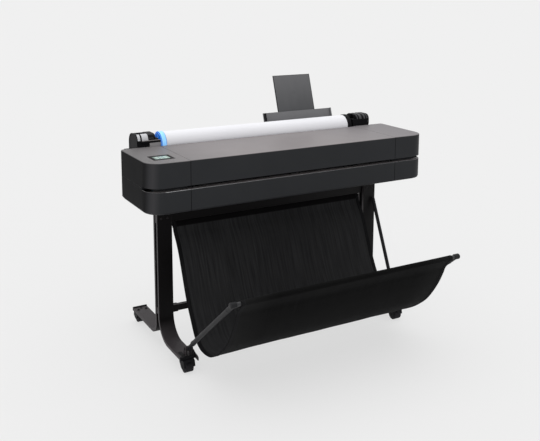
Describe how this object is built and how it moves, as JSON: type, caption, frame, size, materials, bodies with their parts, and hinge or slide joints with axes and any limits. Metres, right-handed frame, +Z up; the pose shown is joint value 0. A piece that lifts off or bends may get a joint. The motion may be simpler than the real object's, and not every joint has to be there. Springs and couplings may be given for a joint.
{
  "type": "large format plotter",
  "caption": "Wide roll-fed inkjet plotter on a wheeled stand, with output slot, touch screen, rear paper roll, sheet feeder and folding fabric catch bin.",
  "frame": {"origin": "on the floor, under the middle of the whole object's box", "axes": "+X to the user's right along the body's length, +Y from front to back, +Z up"},
  "size_m": [1.317, 0.9618, 1.0881],
  "materials": {
    "shell": "satin moulded plastic, taupe on the top faces",
    "dark_plastic": "fine textured black plastic",
    "feeder_plastic": "satin grey moulded plastic",
    "grey_plastic": "light grey moulded plastic",
    "blue_plastic": "glossy blue plastic",
    "bezel": "high gloss black",
    "screen": "lit display glass",
    "stand_paint": "black powder coat",
    "bar_paint": "dark grey satin paint",
    "zinc_steel": "zinc plated sheet",
    "rubber": "ground roller rubber",
    "tread": "hard caster tread",
    "paper": "matt white plotter paper",
    "bin_cloth": "black plain woven polyester",
    "board": "green solder mask",
    "ink_black": "black cartridge shell",
    "ink_cyan": "cyan cartridge shell",
    "ink_magenta": "magenta cartridge shell",
    "ink_yellow": "yellow cartridge shell"
  },
  "bodies": {
    "root": {"left_end_cover": "shell", "right_end_cover": "shell", "left_lower_cover": "shell", "right_lower_cover": "shell", "lower_front_panel": "shell", "screen_bezel": "bezel", "touch_screen": "screen", "rear_housing": "dark_plastic", "power_inlet": "dark_plastic", "left_roll_holder": "dark_plastic", "right_roll_holder": "dark_plastic", "roll_latch": "grey_plastic", "feeder_tray": "feeder_plastic", "output_platen": "dark_plastic", "base_tray": "zinc_steel", "rear_chassis_sheet": "zinc_steel", "carriage_rail": "zinc_steel", "drive_belt": "rubber", "carriage_motor": "zinc_steel", "ink_cartridge_black": "ink_black", "ink_cartridge_cyan": "ink_cyan", "ink_cartridge_magenta": "ink_magenta", "ink_cartridge_yellow": "ink_yellow", "service_station": "dark_plastic", "main_board": "board", "power_supply": "zinc_steel", "left_leg_front": "stand_paint", "left_leg_rear": "stand_paint", "right_leg_front": "stand_paint", "right_leg_rear": "stand_paint", "upper_beam": "stand_paint", "lower_crossbar": "stand_paint", "bin_rear_bar": "bar_paint", "right_stay_rod": "bar_paint", "bin_fabric_rear": "bin_cloth"},
    "top_lid": {"top_cover": "shell"},
    "door": {"ink_door": "shell"},
    "button": {"power_button": "dark_plastic"},
    "roll_spindle": {"spindle": "dark_plastic", "paper_roll": "paper", "left_roll_hub": "blue_plastic", "right_roll_hub": "dark_plastic"},
    "extension": {"feeder_extension": "feeder_plastic"},
    "width_guide": {"feeder_guide": "dark_plastic"},
    "carriage": {"print_carriage": "dark_plastic"},
    "feed_shaft": {"feed_roller": "rubber"},
    "pinch_shaft": {"pinch_roller": "rubber"},
    "bin_frame": {"left_bin_arm": "bar_paint", "right_bin_arm": "bar_paint", "bin_front_bar": "bar_paint", "bin_fabric_front": "bin_cloth"},
    "front_left_caster_swivel": {"front_left_caster_fork": "dark_plastic"},
    "front_left_caster_roll": {"front_left_caster_wheel": "tread"},
    "front_right_caster_swivel": {"front_right_caster_fork": "dark_plastic"},
    "front_right_caster_roll": {"front_right_caster_wheel": "tread"},
    "rear_left_caster_swivel": {"rear_left_caster_fork": "dark_plastic"},
    "rear_left_caster_roll": {"rear_left_caster_wheel": "tread"},
    "rear_right_caster_swivel": {"rear_right_caster_fork": "dark_plastic"},
    "rear_right_caster_roll": {"rear_right_caster_wheel": "tread"}
  },
  "joints": [
    {"name": "lid_hinge", "type": "hinge", "parent": "root", "child": "top_lid", "pos_m": [0, 0.22994, 0.849], "axis": [-1, 0, 0], "range_deg": [0, 60]},
    {"name": "ink_door_hinge", "type": "hinge", "parent": "root", "child": "door", "pos_m": [-0.4892, -0.08306, 0.693], "axis": [0, 0, 1], "range_deg": [0, 88]},
    {"name": "power_press", "type": "slide", "parent": "root", "child": "button", "axis": [0, -1, 0], "range_m": [0, 0.002], "stiffness_N_per_m": 400},
    {"name": "roll_turn", "type": "hinge", "parent": "root", "child": "roll_spindle", "pos_m": [0, 0.28494, 0.85], "axis": [1, 0, 0], "continuous": true},
    {"name": "extension_slide", "type": "slide", "parent": "root", "child": "extension", "axis": [0, 0.309, 0.9511], "range_m": [-0.085, 0]},
    {"name": "guide_slide", "type": "slide", "parent": "root", "child": "width_guide", "axis": [1, 0, 0], "range_m": [0, 0.2]},
    {"name": "carriage_slide", "type": "slide", "parent": "root", "child": "carriage", "axis": [1, 0, 0], "range_m": [-1.04, 0]},
    {"name": "feed_turn", "type": "hinge", "parent": "root", "child": "feed_shaft", "pos_m": [0, 0.04194, 0.722], "axis": [1, 0, 0], "continuous": true},
    {"name": "pinch_turn", "type": "hinge", "parent": "root", "child": "pinch_shaft", "pos_m": [0, 0.04194, 0.7433], "axis": [1, 0, 0], "continuous": true},
    {"name": "bin_fold", "type": "hinge", "parent": "root", "child": "bin_frame", "pos_m": [0, -0.06906, 0.09], "axis": [-1, 0, 0], "range_deg": [0, 50]},
    {"name": "front_left_caster_swivel", "type": "hinge", "parent": "root", "child": "front_left_caster_swivel", "pos_m": [-0.515, -0.06906, 0.05], "axis": [0, 0, 1], "continuous": true},
    {"name": "front_left_caster_roll", "type": "hinge", "parent": "front_left_caster_swivel", "child": "front_left_caster_roll", "pos_m": [-0.515, -0.08106, 0.024], "axis": [1, 0, 0], "continuous": true},
    {"name": "front_right_caster_swivel", "type": "hinge", "parent": "root", "child": "front_right_caster_swivel", "pos_m": [0.515, -0.06906, 0.05], "axis": [0, 0, 1], "continuous": true},
    {"name": "front_right_caster_roll", "type": "hinge", "parent": "front_right_caster_swivel", "child": "front_right_caster_roll", "pos_m": [0.515, -0.08106, 0.024], "axis": [1, 0, 0], "continuous": true},
    {"name": "rear_left_caster_swivel", "type": "hinge", "parent": "root", "child": "rear_left_caster_swivel", "pos_m": [-0.515, 0.44494, 0.05], "axis": [0, 0, 1], "continuous": true},
    {"name": "rear_left_caster_roll", "type": "hinge", "parent": "rear_left_caster_swivel", "child": "rear_left_caster_roll", "pos_m": [-0.515, 0.45694, 0.024], "axis": [1, 0, 0], "continuous": true},
    {"name": "rear_right_caster_swivel", "type": "hinge", "parent": "root", "child": "rear_right_caster_swivel", "pos_m": [0.515, 0.44494, 0.05], "axis": [0, 0, 1], "continuous": true},
    {"name": "rear_right_caster_roll", "type": "hinge", "parent": "rear_right_caster_swivel", "child": "rear_right_caster_roll", "pos_m": [0.515, 0.45694, 0.024], "axis": [1, 0, 0], "continuous": true}
  ],
  "couplings": [
    {"joint": "pinch_turn", "follows": "feed_turn", "ratio": -2}
  ]
}
